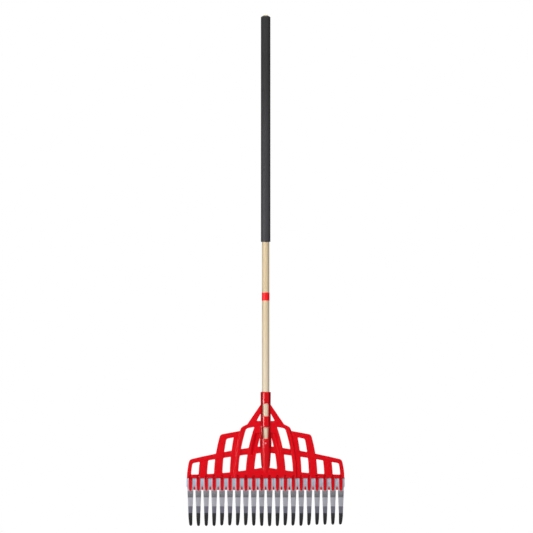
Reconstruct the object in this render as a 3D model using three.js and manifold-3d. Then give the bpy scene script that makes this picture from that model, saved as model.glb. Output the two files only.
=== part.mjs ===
// A lawn rake: twenty spring-steel tines clamped in a red moulded lattice head, on a wooden handle
// with a foam grip. Lengths are millimetres. Z runs up the handle and X along the row of tines. The
// upper side of the head, which the user sees, faces -Y, and the tines hook over to +Y.
import * as THREE from "three";
import { mergeVertices } from "three/addons/utils/BufferGeometryUtils.js";
import Module from "manifold-3d";

const wasm = await Module();
wasm.setup();

// Fits and cuts
const clearance = 0.3; // between pieces that touch
const overrun = 2; // how far a cut runs past the face that it opens
const cornerSteps = 3; // straight steps in a rounded corner
const roundSides = 32; // sides of the handle, the grip and the socket
const pinSides = 12; // sides of screws and their holes
const studSides = 8; // sides of the hidden studs and their holes
const fingerSteps = 2; // straight steps in a finger's corner
const solveRounds = 30; // rounds that find where two lines cross

// Row of tines, seen from the front. Heights are taken from the lower edge of the bar, drops below it.
const tineCount = 20;
const tinePitch = 25;
const tineThickness = 1.4;
const tineDrop = 149.7; // lower edge of the bar to the tips, on average
const bladeWidth = 18.4; // below the shoulder
const tipWidth = 9.8;
const tipRounding = 6; // height of the rounded end
const shoulderDrop = 25.5; // full width down to here
const archHeight = 14; // from the shoulder down to the blade's own width
const archSteps = 4;
const kneeDropShares = [0.287, 0.405, 0.593, 0.734]; // of the drop, one for each bend
const kneeWidthShares = [1, 0.92, 0.79, 0.705]; // of the blade's width there
const facetLeans = [-5, 4, 20]; // degrees from upright, below each bend but the last
const hookStartLean = 38; // degrees, where the curved hook begins
const hookEndLean = 62; // degrees, at the tip
const hookSteps = 4;
const tipSway = 2.4; // the most that a tip stands to one side of its root
const tipSwayShares = [
  0.8, 0.3, 0, -0.2, -0.7, -0.6, -0.9, -0.4, 0, 0.1, 0, -0.5, -0.7, -0.9, -0.9, -0.8, -0.4, -0.2, -0.3, -1,
];
const tipSpread = 3.4; // the most that a tip hangs lower, or higher, than the average
const tipSpreadShares = [
  0.2, 0.4, 0.4, 0.4, -0.1, -0.1, -0.1, -0.2, 0.1, 0.4, 0.6, 0.4, -0.1, 0, 0.3, -0.3, -0.7, -0.8, -0.8, -1,
];

// Roots of the tines, held on studs between the head and the rear clamp
const tabWidth = 15;
const tabHeight = 8.4;
const shoulderInset = 2; // how far the full width runs up behind the bar
const studRadius = 2;
const studHeight = 4.6; // above the lower edge of the bar
const studDepth = 3.2; // past the tine, into the clamp

// Lattice head, half of it; the other half mirrors it
const headSetback = 1.4; // end of the bar to the end of the row
const ribWidth = 27;
const endRibWidth = 13.1;
const lastRibShift = 1.5; // the last full rib stands in by this much
const ribPitches = 2; // pitches from rib to rib
const innerBendShares = [1.77, 1.97, 2.4, 1.6, 0.9]; // bend of each rib's inner edge, of the half width
const outerBendShares = [1.9, 2.7, 1.9, 1.45, 0.84]; // and of its outer edge
const barEndHeight = 11.5;
const barRise = 24; // of the bar's top edge, from the ends to the middle
const lowerArchCrown = 103;
const lowerArchDepth = 22;
const lowerArchDrop = 30; // from the middle to the ends
const lowerArchUnderDrop = 25;
const lowerArchSag = 16;
const lowerArchUnderSag = 12.5;
const middleArchCrown = 164.5;
const middleArchDepth = 15;
const middleArchDrop = 46;
const middleArchUnderDrop = 51;
const upperArchCrown = 192.3;
const upperArchDepth = 23.7;
const upperArchDrop = 99;
const upperArchUnderDrop = 47;
const braceFoot = 58.4; // half width of the two braces where they leave the upper arch
const braceFootHeight = 170;
const braceTopHeight = 232; // where a brace's outer edge reaches the socket
const braceWindowBaseShare = 0.78; // of the height where the braces reach the socket
const braceWindowTopShare = 0.892;
const braceWindowWidth = 28.5; // half width at its base
const sideWindowTop = 126; // small window between the socket and the first rib
const tierCorner = 9; // rounding of the outer corners
const windowCorner = 2.5;
const windowOuterCorner = 7;
const edgeSteps = 4; // straight steps along a bent edge

// Depths of the head, from the plane of the tines
const ribFront = 6.5;
const memberFront = 4.6; // the cross members between the ribs stand back
const centreFront = 9; // the middle of the head stands forward
const centreSlope = 4.5; // width of the slope down to the wings
const rimRise = 1.3; // the middle rises to a rim above that slope
const rimWidth = 7.5; // over which it rises
const centreFoot = 100.4; // half width of that middle at the bar
const centreBendShare = 2.33;
const headBack = 4;
const lowerSetback = 0.8; // below the lower arch the whole front stands back
const lowerStepRise = 2; // the step lies this far above the arch's underside
const webFront = 1.6; // thin web between the socket and the first rib
const webSlope = 8; // width of the slope down to it
const webFoot = 53.5; // half width of the web's outer line at the bar
const webBendShare = 2.1;
const webMargin = 22; // the web ends this far below the upper arch
const notchWidth = 7.4; // a notch in the bar that runs on into the root of each front finger
const notchTop = 9.4;
const notchBase = -5.6;
const notchFloor = 2.4; // between its floor and the plane of the tines

// Front fingers, one over each tine
const fingerWidth = 11;
const fingerDrop = 39.8;
const fingerTaperDrop = 24; // straight down to here
const fingerTipWidth = 7.4;
const fingerTipRounding = 4;
const fingerFront = 5;
const fingerTipFront = 3;

// Rear clamp and its fingers, one over each gap
const clampDepth = 5.4;
const clampSetback = 2.6; // end of the clamp to the end of the row
const clampInset = 0.5; // lower edge of the clamp above the bar's
const rearFingerWidth = 6.6;
const rearFingerDrop = 37.5;
const rearFingerDepth = 3.4;
const rearFingerTipDepth = 1.8;
const rearFingerRounding = 5;
const clampScrewCount = 5;
const clampScrewPitches = 4;
const clampScrewRadius = 1.7;
const clampScrewHeadRadius = 3.6;
const clampScrewHeadHeight = 2.2;
const clampScrewGrip = 3.4; // how far the screw bites into the head
const driveSlotWidth = 1.1;
const driveSlotLength = 4.2;
const driveSlotDepth = 1.1;

// Socket
const socketTop = 272.4;
const socketRadius = 16.1;
const socketBulgeRadius = 18.8;
const socketBulgeHeight = 113;
const socketFlareHeight = 165; // the widening begins here, on the way down
const socketNeckRadius = 14.1;
const socketNeckHeight = 42;
const socketToeRadius = 9;
const socketToeHeight = 16;
const socketLip = 1.2;
const socketWindowHalfWidth = 9.8;
const socketWindowCorner = 2;
const upperWindowTop = 236.1;
const upperWindowBase = 195.2;
const lowerWindowTop = 161.3;
const lowerWindowBase = 124.4;
const rearWindowMargin = 4; // a rear window stands this far from the front ones
const rearWindowTopMargin = 8; // and from the socket's mouth

// Handle
const handleRadius = 11.5;
const handleLength = 1372;
const handleEndHeight = 91;
const handleDomeHeight = 12;
const handleFlatRadius = 4;
const handleDomeSteps = 5;
const taperTopHeight = 262;
const taperKneeHeight = 161;
const taperKneeRadius = 9.5;
const handleEndRadius = 6.7;
const handleEndChamfer = 1.5;
const gripRadius = 15;
const gripBaseHeight = 746;
const gripSetback = 7; // end of the wood above the grip's shoulder
const gripEdge = 0.8;
const gripLipSteps = 3; // above its shoulder the grip closes in over this many steps of the dome
const gripLipWidth = 1; // at its very end
const bandBaseHeight = 560.8;
const bandHeight = 25.5;
const bandThickness = 0.35;
const handleScrewHeight = 110;
const handleScrewRadius = 1.6;
const handleScrewHeadRadius = 3;
const handleScrewHeadHeight = 1.6;
const handleScrewSeat = 1.4; // depth of the seat below the socket's face
const handleScrewLength = 17;

const quarterTurn = Math.PI / 2;
const halfPitch = tinePitch / 2;
const rowHalfWidth = tineCount * halfPitch;
const headHalfWidth = rowHalfWidth - headSetback;
const tineFace = tineThickness / 2;
const seatFace = tineFace + clearance; // where the head and the clamp face the tines
const handleTopHeight = handleEndHeight + handleLength;
const gripTopHeight = handleTopHeight - gripSetback;
const gripMiddleHeight = (gripTopHeight + gripBaseHeight) / 2;
const sleeveRadius = handleRadius + clearance; // inside the grip and the band

// Materials
function finish(color, roughness, metalness) {
  return new THREE.MeshStandardMaterial({ color, roughness, metalness });
}
const redPlastic = finish(0xd80a1c, 0.35, 0);
const wood = finish(0xe2cfa7, 0.55, 0);
const foam = finish(0x3f3f42, 0.95, 0);
const springSteel = finish(0xa2a3a8, 0.4, 1);
const zincSteel = finish(0xc4c6ca, 0.35, 1);
const redFilm = finish(0xf5282a, 0.4, 0);

// A closed geometry as a solid, and a solid as a geometry
function solidOf(geometry) {
  geometry.deleteAttribute("normal");
  geometry.deleteAttribute("uv");
  const merged = mergeVertices(geometry);
  const vertProperties = merged.attributes.position.array;
  const triVerts = new Uint32Array(merged.index.array);
  return new wasm.Manifold(new wasm.Mesh({ numProp: 3, vertProperties, triVerts }));
}

function geometryOf(solid) {
  const { vertProperties, triVerts } = solid.getMesh();
  const geometry = new THREE.BufferGeometry();
  geometry.setAttribute("position", new THREE.BufferAttribute(vertProperties, 3));
  geometry.setIndex(new THREE.BufferAttribute(triVerts, 1));
  geometry.computeVertexNormals();
  return geometry;
}

// A profile of [radius, height] turned about the Z axis
function turned(profile, sides = roundSides) {
  const points = profile.map(([radius, height]) => new THREE.Vector2(radius, height));
  return solidOf(new THREE.LatheGeometry(points, sides).rotateX(quarterTurn));
}

// The same, turned about an axis along Y through (x, z); heights count forward, to -Y
function turnedForward(profile, x, z, sides = pinSides) {
  const points = profile.map(([radius, depth]) => new THREE.Vector2(radius, depth));
  const geometry = new THREE.LatheGeometry(points, sides).rotateX(Math.PI);
  return solidOf(geometry.translate(x, 0, z));
}

// A plain pin along Y from front to back
function pin(radius, front, back, x, z, sides = pinSides) {
  const profile = [
    [0, -back],
    [radius, -back],
    [radius, -front],
    [0, -front],
  ];
  return turnedForward(profile, x, z, sides);
}

// A front view, a shape in X and Z, given depth from front to back along Y
function slab(shape, front, back, curveSegments = cornerSteps) {
  const settings = { depth: back - front, bevelEnabled: false, curveSegments };
  const geometry = new THREE.ExtrudeGeometry(shape, settings).rotateX(quarterTurn);
  return solidOf(geometry.translate(0, back, 0));
}

// A side view, a shape in Y and Z, given width along X
function beam(shape, halfWidth) {
  const settings = { depth: 2 * halfWidth, bevelEnabled: false, curveSegments: cornerSteps };
  const turn = new THREE.Matrix4().makeBasis(
    new THREE.Vector3(0, 1, 0),
    new THREE.Vector3(0, 0, 1),
    new THREE.Vector3(1, 0, 0),
  );
  const geometry = new THREE.ExtrudeGeometry(shape, settings).applyMatrix4(turn);
  return solidOf(geometry.translate(-halfWidth, 0, 0));
}

// An outline of [x, z, rounding] corners, the rounding measured along both sides of the corner
function outline(corners) {
  const shape = new THREE.Shape();
  const count = corners.length;
  corners.forEach(([x, z, rounding = 0], i) => {
    const here = new THREE.Vector2(x, z);
    const before = new THREE.Vector2(...corners[(i + count - 1) % count]);
    const after = new THREE.Vector2(...corners[(i + 1) % count]);
    const toBefore = before.sub(here);
    const toAfter = after.sub(here);
    const reach = Math.min(rounding, toBefore.length() / 2, toAfter.length() / 2);
    const start = here.clone().addScaledVector(toBefore.normalize(), reach);
    const end = here.clone().addScaledVector(toAfter.normalize(), reach);
    if (i === 0) shape.moveTo(start.x, start.y);
    else shape.lineTo(start.x, start.y);
    if (reach > 0) shape.quadraticCurveTo(x, z, end.x, end.y);
  });
  shape.closePath();
  return shape;
}

function joined(solids) {
  return solids.reduce((whole, solid) => whole.add(solid));
}

function mirrored(solid) {
  return solid.add(solid.mirror([1, 0, 0]));
}

// The arched lines of the head, as height at a distance from the middle
function arch(crown, drop, sag = 0) {
  return (x) => {
    const share = x / headHalfWidth;
    return crown - drop * share - sag * share * share;
  };
}
const barTop = (x) => barEndHeight + barRise * (1 - x / headHalfWidth) ** 2;
const lowerTop = arch(lowerArchCrown, lowerArchDrop, lowerArchSag);
const lowerUnder = arch(lowerArchCrown - lowerArchDepth, lowerArchUnderDrop, lowerArchUnderSag);
const middleTop = arch(middleArchCrown, middleArchDrop);
const middleUnder = arch(middleArchCrown - middleArchDepth, middleArchUnderDrop);
const upperTop = arch(upperArchCrown, upperArchDrop);
const upperUnder = arch(upperArchCrown - upperArchDepth, upperArchUnderDrop);

// A rib's edge bends in towards the handle as it rises from its foot on the bar
function ribEdge(foot, bendShare) {
  return (height) => foot - (height * height) / (2 * bendShare * headHalfWidth);
}

const fullRibs = innerBendShares.length - 1;
const ribs = innerBendShares.map((innerBend, i) => {
  const isEnd = i === fullRibs;
  const shift = i === fullRibs - 1 ? lastRibShift : 0;
  const middle = (i + 1) * ribPitches * tinePitch - shift;
  const innerFoot = isEnd ? headHalfWidth - endRibWidth : middle - ribWidth / 2;
  const outerFoot = isEnd ? headHalfWidth : middle + ribWidth / 2;
  return { inner: ribEdge(innerFoot, innerBend), outer: ribEdge(outerFoot, outerBendShares[i]) };
});
const centreEdge = ribEdge(centreFoot, centreBendShare);
const webEdge = ribEdge(webFoot, webBendShare);

// Where a rib's edge crosses an arched line, as a height
function crossing(edge, line) {
  let height = 0;
  for (let round = 0; round < solveRounds; round++) height = line(edge(height));
  return height;
}

// Points along a rib's edge between two heights, both ends included
function along(edge, from, to) {
  return Array.from({ length: edgeSteps + 1 }, (_, i) => {
    const height = from + ((to - from) * i) / edgeSteps;
    return [edge(height), height];
  });
}

function withRounding(points, startRounding, endRounding) {
  const last = points.length - 1;
  points[0].push(startRounding);
  points[last].push(endRounding);
  return points;
}

// A window of the lattice between two rib edges, from one arched line up to another
function latticeWindow(inner, outer, base, top, outerCorner = windowCorner) {
  const up = along(outer, crossing(outer, base), crossing(outer, top));
  const down = along(inner, crossing(inner, top), crossing(inner, base));
  return outline([
    ...withRounding(up, windowCorner, outerCorner),
    ...withRounding(down, windowCorner, windowCorner),
  ]);
}

// Right half of the two wings' front view, stepped in two tiers. It runs past the middle, as the rest
// of the half does, so that the halves overlap there.
function wingOutline() {
  const end = ribs[fullRibs].outer;
  const third = ribs[2].outer;
  const endTop = crossing(end, lowerTop);
  const thirdFoot = crossing(third, lowerTop);
  const thirdTop = crossing(third, middleTop);
  const mid = (end(endTop) + third(thirdFoot)) / 2;
  return outline([
    [-overrun, 0],
    ...withRounding(along(end, 0, endTop), 0, tierCorner),
    [mid, lowerTop(mid)],
    ...withRounding(along(third, thirdFoot, thirdTop), 0, tierCorner),
    [-overrun, middleTop(0)],
  ]);
}

// The middle of the head, which stands forward of the wings and rises to the two braces
function centreOutline() {
  return outline([
    [-overrun, 0],
    ...withRounding(along(centreEdge, 0, crossing(centreEdge, upperTop)), 0, tierCorner),
    [braceFoot, braceFootHeight],
    [socketRadius, braceTopHeight],
    [-overrun, braceTopHeight],
  ]);
}

const axisEdge = () => socketNeckRadius / 2;

function headWindows() {
  const [first, second, third, fourth, end] = ribs;
  const braceWindowBase = braceTopHeight * braceWindowBaseShare;
  const braceWindow = outline([
    [socketNeckRadius, braceWindowBase],
    [braceWindowWidth, braceWindowBase, windowCorner],
    [socketNeckRadius, braceTopHeight * braceWindowTopShare],
  ]);
  const sideBase = crossing(first.inner, lowerTop);
  const sideWindow = outline([
    [socketNeckRadius, sideBase],
    [first.inner(sideBase), sideBase, windowCorner],
    ...along(first.inner, (sideBase + sideWindowTop) / 2, sideWindowTop),
    [socketNeckRadius, sideWindowTop],
  ]);
  return [
    latticeWindow(fourth.outer, end.inner, barTop, lowerUnder, windowOuterCorner),
    latticeWindow(third.outer, fourth.inner, barTop, lowerUnder),
    latticeWindow(second.outer, third.inner, barTop, lowerUnder),
    latticeWindow(first.outer, second.inner, barTop, lowerUnder),
    latticeWindow(axisEdge, first.inner, barTop, lowerUnder),
    latticeWindow(second.outer, third.inner, lowerTop, middleUnder, windowOuterCorner),
    latticeWindow(first.outer, second.inner, lowerTop, upperUnder, windowOuterCorner),
    sideWindow,
    braceWindow,
  ];
}

// Front of a cross member between two ribs, which stands back from them
function memberRecess(near, far) {
  const under = (x) => lowerUnder(x) - windowCorner;
  const over = (x) => lowerTop(x) + windowCorner;
  const up = along(far, crossing(far, under), crossing(far, over));
  const down = along(near, crossing(near, over), crossing(near, under));
  return outline([...up, ...down]);
}

// A section in X and Y that follows a rib's edge between two heights, X counted from that edge
function following(edge, from, to, section) {
  const shape = new THREE.Shape(section.map(([x, y]) => new THREE.Vector2(x, y)));
  const settings = { depth: to - from, steps: edgeSteps, bevelEnabled: false };
  const geometry = new THREE.ExtrudeGeometry(shape, settings).translate(0, 0, from);
  const places = geometry.attributes.position;
  for (let i = 0; i < places.count; i++) places.setX(i, places.getX(i) + edge(places.getZ(i)));
  return solidOf(geometry);
}

// The middle of the head, with a rim along its side and a slope from the rim down to the wings
function headCentre() {
  const rim = centreFront + rimRise;
  const rise = rim - ribFront;
  const top = crossing(centreEdge, upperTop);
  const overSlope = [
    [0, -ribFront],
    [-(centreSlope * (rise + overrun)) / rise, -rim - overrun],
    [overrun, -rim - overrun],
    [overrun, -ribFront],
  ];
  const ridge = [
    [-centreSlope - rimWidth, -ribFront],
    [-centreSlope - rimWidth, -centreFront],
    [-centreSlope, -rim],
    [0, -rim],
    [0, -ribFront],
  ];
  const block = slab(centreOutline(), -rim - overrun, headBack);
  const high = block.intersect(following(centreEdge, 0, top, ridge));
  const cut = following(centreEdge, 0, top, overSlope);
  return slab(centreOutline(), -centreFront, headBack).add(high).subtract(cut);
}

// Over the thin web between the socket and the first rib, and over the slope down to it
function webCut() {
  const top = crossing(webEdge, upperUnder) - webMargin;
  const base = crossing(webEdge, lowerUnder) - windowCorner;
  const section = [
    [-webFoot, -webFront],
    [-webFoot, -centreFront - overrun],
    [0, -centreFront - overrun],
    [0, -centreFront],
    [-webSlope, -webFront],
  ];
  return following(webEdge, base, top, section);
}

// What lies below the step along the lower arch
function belowStep() {
  const line = Array.from({ length: edgeSteps + 1 }, (_, i) => {
    const x = (rowHalfWidth * i) / edgeSteps;
    return [x, lowerUnder(x) + lowerStepRise];
  });
  const middle = [-overrun, lowerUnder(0) + lowerStepRise];
  return outline([middle, ...line, [rowHalfWidth, -overrun], [-overrun, -overrun]]);
}

function latticeHead() {
  const [first, second, third] = ribs;
  const wing = slab(wingOutline(), -ribFront, headBack);
  const whole = wing.add(headCentre());
  const front = -centreFront - rimRise - overrun;
  const below = slab(belowStep(), front, headBack);
  const lower = whole.translate([0, lowerSetback, 0]).intersect(below);
  const stepped = whole.subtract(below).add(lower);
  const windows = headWindows().map((window) => slab(window, front, headBack + overrun));
  const members = [memberRecess(second.outer, third.inner), memberRecess(first.outer, second.inner)];
  const recesses = members.map((member) => slab(member, front, -memberFront));
  const half = stepped.subtract(joined(windows)).subtract(joined(recesses)).subtract(webCut());
  return mirrored(half);
}

// Front fingers, thinner towards their tips
function frontFinger(x) {
  const half = fingerWidth / 2;
  const tip = fingerTipWidth / 2;
  const shape = outline([
    [x - half, shoulderInset],
    [x - half, -fingerTaperDrop, fingerTipRounding],
    [x - tip, -fingerDrop, fingerTipRounding],
    [x + tip, -fingerDrop, fingerTipRounding],
    [x + half, -fingerTaperDrop, fingerTipRounding],
    [x + half, shoulderInset],
  ]);
  return slab(shape, -fingerFront, -seatFace, fingerSteps);
}

function fingerWedge() {
  const side = new THREE.Shape();
  side.moveTo(-fingerFront, 0);
  side.lineTo(-fingerTipFront, -fingerDrop);
  side.lineTo(-fingerTipFront, -fingerDrop - overrun);
  side.lineTo(-fingerFront - overrun, -fingerDrop - overrun);
  side.lineTo(-fingerFront - overrun, 0);
  side.closePath();
  return beam(side, rowHalfWidth);
}

const tinePlaces = Array.from({ length: tineCount }, (_, i) => (i + 0.5) * tinePitch - rowHalfWidth);
const gapPlaces = tinePlaces.slice(1).map((x) => x - halfPitch);
const screwPlaces = Array.from(
  { length: clampScrewCount },
  (_, i) => (i - (clampScrewCount - 1) / 2) * clampScrewPitches * tinePitch,
);

function socketBody() {
  return turned([
    [0, socketToeHeight],
    [socketToeRadius, socketToeHeight],
    [socketNeckRadius, socketNeckHeight],
    [socketBulgeRadius, socketBulgeHeight],
    [socketRadius, socketFlareHeight],
    [socketRadius, socketTop - socketLip],
    [socketRadius - socketLip, socketTop],
    [0, socketTop],
  ]);
}

// Half-width openings that show the wood, by turns at the front and at the back
function socketWindows() {
  const opening = (base, top) =>
    outline([
      [-socketWindowHalfWidth, base, socketWindowCorner],
      [socketWindowHalfWidth, base, socketWindowCorner],
      [socketWindowHalfWidth, top, socketWindowCorner],
      [-socketWindowHalfWidth, top, socketWindowCorner],
    ]);
  const reach = socketBulgeRadius + overrun;
  const rearTop = socketTop - rearWindowTopMargin;
  return joined([
    slab(opening(upperWindowBase, upperWindowTop), -reach, 0),
    slab(opening(lowerWindowBase, lowerWindowTop), -reach, 0),
    slab(opening(upperWindowTop + rearWindowMargin, rearTop), 0, reach),
    slab(opening(lowerWindowTop + rearWindowMargin, upperWindowBase - rearWindowMargin), 0, reach),
  ]);
}

// The handle's profile, widened by a gap for the bore that takes it
function handleProfile(gap) {
  return [
    [0, handleEndHeight - gap],
    [handleEndRadius - handleEndChamfer + gap, handleEndHeight - gap],
    [handleEndRadius + gap, handleEndHeight + handleEndChamfer - gap],
    [taperKneeRadius + gap, taperKneeHeight],
    [handleRadius + gap, taperTopHeight],
  ];
}

function rakeHead() {
  const rabbetTop = tabHeight + 2 * clearance;
  const reach = rowHalfWidth + overrun;
  const rabbet = slab(
    outline([
      [-reach, -overrun],
      [reach, -overrun],
      [reach, rabbetTop],
      [-reach, rabbetTop],
    ]),
    -seatFace,
    headBack + overrun,
  );
  const notches = tinePlaces.map((x) => {
    const half = notchWidth / 2;
    const shape = outline([
      [x - half, notchBase, half],
      [x + half, notchBase, half],
      [x + half, notchTop, half],
      [x - half, notchTop, half],
    ]);
    return slab(shape, -centreFront - rimRise - overrun, -notchFloor);
  });
  const screwHoles = screwPlaces.map((x) =>
    pin(clampScrewRadius + clearance, -seatFace - clampScrewGrip - clearance, overrun, x, studHeight),
  );
  const fingers = joined(tinePlaces.map(frontFinger)).subtract(fingerWedge());
  const studs = tinePlaces.map((x) =>
    pin(studRadius, -seatFace - studRadius, tineFace + studDepth, x, studHeight, studSides),
  );
  const bore = turned([
    ...handleProfile(clearance),
    [handleRadius + clearance, socketTop + overrun],
    [0, socketTop + overrun],
  ]);
  const seatY = socketBulgeRadius - handleScrewSeat;
  const seatRadius = handleScrewHeadRadius + 2 * clearance;
  const seat = pin(seatRadius, -socketBulgeRadius - overrun, -seatY, 0, handleScrewHeight);
  const screwHole = pin(handleScrewRadius + clearance, -socketBulgeRadius, 0, 0, handleScrewHeight);
  return latticeHead()
    .subtract(rabbet)
    .subtract(joined(screwHoles))
    .add(fingers)
    .subtract(joined(notches))
    .add(joined(studs))
    .add(socketBody())
    .subtract(bore)
    .subtract(socketWindows())
    .subtract(seat)
    .subtract(screwHole);
}

// A tine: a strip bent in side view, cut to its outline in front view
function bladePath(drop) {
  const radians = THREE.MathUtils.degToRad;
  const knees = kneeDropShares.map((share) => share * tineDrop);
  const points = [new THREE.Vector2(0, tabHeight + overrun), new THREE.Vector2(0, -knees[0])];
  facetLeans.forEach((lean, i) => {
    const fall = knees[i + 1] - knees[i];
    const last = points[points.length - 1];
    points.push(new THREE.Vector2(last.x + fall * Math.tan(radians(lean)), -knees[i + 1]));
  });
  const start = radians(hookStartLean);
  const end = radians(hookEndLean);
  const foot = points[points.length - 1].clone();
  const bend = (drop + foot.y) / (Math.sin(end) - Math.sin(start));
  for (let i = 1; i <= hookSteps; i++) {
    const lean = start + ((end - start) * i) / hookSteps;
    const back = bend * (Math.cos(start) - Math.cos(lean));
    const down = bend * (Math.sin(lean) - Math.sin(start));
    points.push(new THREE.Vector2(foot.x + back, foot.y - down));
  }
  const tip = points[points.length - 1];
  points.push(new THREE.Vector2(tip.x + overrun * Math.tan(end), tip.y - overrun));
  return points;
}

// A path given thickness to both sides, mitred at its bends
function strip(path, halfThickness) {
  const normals = path.slice(1).map((point, i) => {
    const step = point.clone().sub(path[i]).normalize();
    return new THREE.Vector2(-step.y, step.x);
  });
  const offsets = path.map((_, i) => {
    const before = normals[Math.max(i - 1, 0)];
    const after = normals[Math.min(i, normals.length - 1)];
    const mitre = before.clone().add(after).normalize();
    return mitre.multiplyScalar(halfThickness / mitre.dot(before));
  });
  const front = path.map((point, i) => point.clone().sub(offsets[i]));
  const back = path.map((point, i) => point.clone().add(offsets[i]));
  return new THREE.Shape([...front, ...back.reverse()]);
}

// Half widths of a tine and the heights where they lie, from the shoulder to the tip
function bladeStations(drop) {
  const shoulderHalf = halfPitch - clearance;
  const gapHalf = halfPitch - bladeWidth / 2;
  const stations = [[shoulderHalf, -shoulderDrop]];
  for (let i = 1; i <= archSteps; i++) {
    const angle = (quarterTurn * i) / archSteps;
    const half = Math.min(shoulderHalf, halfPitch - gapHalf * Math.sin(angle));
    stations.push([half, -shoulderDrop - archHeight * (1 - Math.cos(angle))]);
  }
  kneeDropShares.forEach((share, i) => {
    stations.push([(bladeWidth / 2) * kneeWidthShares[i], -share * tineDrop]);
  });
  const [hookHalf, hookTop] = stations[stations.length - 1];
  const tipTop = tipRounding - drop;
  for (let i = 1; i <= hookSteps; i++) {
    const share = i / hookSteps;
    stations.push([hookHalf + (tipWidth / 2 - hookHalf) * share, hookTop + (tipTop - hookTop) * share]);
  }
  for (let i = 1; i <= cornerSteps; i++) {
    const angle = (quarterTurn * i) / cornerSteps;
    stations.push([(tipWidth / 2) * Math.cos(angle), tipTop - tipRounding * Math.sin(angle)]);
  }
  return stations;
}

// A tine's front view; below the last knee its middle swings to one side by the sway
function bladeOutline(sway, drop) {
  const hookTop = -kneeDropShares[kneeDropShares.length - 1] * tineDrop;
  const swayAt = (height) => {
    const share = Math.max(0, (hookTop - height) / (drop + hookTop));
    return sway * share * share;
  };
  const stations = bladeStations(drop);
  const right = stations.map(([half, height]) => [swayAt(height) + half, height]);
  const left = stations.map(([half, height]) => [swayAt(height) - half, height]).reverse();
  const shoulderHalf = stations[0][0];
  const tabHalf = tabWidth / 2;
  return outline([
    [-shoulderHalf, shoulderInset],
    [-tabHalf, shoulderInset],
    [-tabHalf, tabHeight, windowCorner],
    [tabHalf, tabHeight, windowCorner],
    [tabHalf, shoulderInset],
    [shoulderHalf, shoulderInset],
    ...right,
    ...left.slice(1),
  ]);
}

function tine(sway, drop) {
  const path = bladePath(drop);
  const hookDepth = path[path.length - 1].x + overrun;
  const bent = beam(strip(path, tineFace), halfPitch + Math.abs(sway));
  const hole = pin(studRadius + clearance, -tineThickness, tineThickness, 0, studHeight, studSides);
  return bent.intersect(slab(bladeOutline(sway, drop), -hookDepth, hookDepth)).subtract(hole);
}

// Rear clamp: a bar with a finger over each gap between the tines
function rearFinger(x) {
  const half = rearFingerWidth / 2;
  return slab(
    outline([
      [x - half, shoulderInset],
      [x - half, -rearFingerDrop, rearFingerRounding],
      [x + half, -rearFingerDrop, rearFingerRounding],
      [x + half, shoulderInset],
    ]),
    seatFace,
    seatFace + rearFingerDepth,
    fingerSteps,
  );
}

function rearClamp() {
  const half = rowHalfWidth - clampSetback;
  const top = tabHeight + clearance;
  const bar = slab(
    outline([
      [-half, clampInset, windowCorner],
      [half, clampInset, windowCorner],
      [half, top, windowCorner],
      [-half, top, windowCorner],
    ]),
    seatFace,
    seatFace + clampDepth,
  );
  const wedge = new THREE.Shape();
  wedge.moveTo(seatFace + rearFingerDepth, 0);
  wedge.lineTo(seatFace + rearFingerDepth + overrun, 0);
  wedge.lineTo(seatFace + rearFingerDepth + overrun, -rearFingerDrop - overrun);
  wedge.lineTo(seatFace + rearFingerTipDepth, -rearFingerDrop - overrun);
  wedge.lineTo(seatFace + rearFingerTipDepth, -rearFingerDrop);
  wedge.closePath();
  const fingers = joined(gapPlaces.map(rearFinger)).subtract(beam(wedge, rowHalfWidth));
  const studHoles = tinePlaces.map((x) =>
    pin(studRadius + clearance, 0, tineFace + studDepth + clearance, x, studHeight, studSides),
  );
  const screwHoles = screwPlaces.map((x) =>
    pin(clampScrewRadius + clearance, 0, seatFace + clampDepth + overrun, x, studHeight),
  );
  return bar.add(fingers).subtract(joined(studHoles)).subtract(joined(screwHoles));
}

// A crossed drive recess in a screw's face that looks back, to +Y
function driveCross(face, x, z) {
  const long = driveSlotLength / 2;
  const half = driveSlotWidth / 2;
  const arm = (reachX, reachZ) =>
    outline([
      [x - reachX, z - reachZ],
      [x + reachX, z - reachZ],
      [x + reachX, z + reachZ],
      [x - reachX, z + reachZ],
    ]);
  const floor = face - driveSlotDepth;
  return slab(arm(long, half), floor, face + overrun).add(slab(arm(half, long), floor, face + overrun));
}

// Pan-headed screw of the rear clamp, its head at the back
function clampScrew() {
  const seat = seatFace + clampDepth + clearance;
  const back = seat + clampScrewHeadHeight;
  const edge = clampScrewHeadHeight / 2;
  const body = turnedForward(
    [
      [0, -back],
      [clampScrewHeadRadius - edge, -back],
      [clampScrewHeadRadius, -back + edge],
      [clampScrewHeadRadius, -seat],
      [clampScrewRadius, -seat],
      [clampScrewRadius, seatFace + clampScrewGrip],
      [0, seatFace + clampScrewGrip],
    ],
    0,
    studHeight,
  );
  return body.subtract(driveCross(back, 0, studHeight));
}

// Small round-headed screw that holds the handle in the socket
function handleScrew() {
  const seat = socketBulgeRadius - handleScrewSeat + clearance;
  const face = seat + handleScrewHeadHeight;
  const edge = handleScrewHeadHeight / 2;
  return turnedForward(
    [
      [0, face - handleScrewLength],
      [handleScrewRadius, face - handleScrewLength],
      [handleScrewRadius, seat],
      [handleScrewHeadRadius, seat],
      [handleScrewHeadRadius, face - edge],
      [handleScrewHeadRadius - edge, face],
      [0, face],
    ],
    0,
    handleScrewHeight,
  );
}

// Handle, band and grip
function handleDome() {
  const domeBase = handleTopHeight - handleDomeHeight;
  const flatAngle = Math.acos(handleFlatRadius / handleRadius);
  return Array.from({ length: handleDomeSteps + 1 }, (_, i) => {
    const angle = (flatAngle * i) / handleDomeSteps;
    const rise = (handleDomeHeight * Math.sin(angle)) / Math.sin(flatAngle);
    return [handleRadius * Math.cos(angle), domeBase + rise];
  });
}

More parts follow.
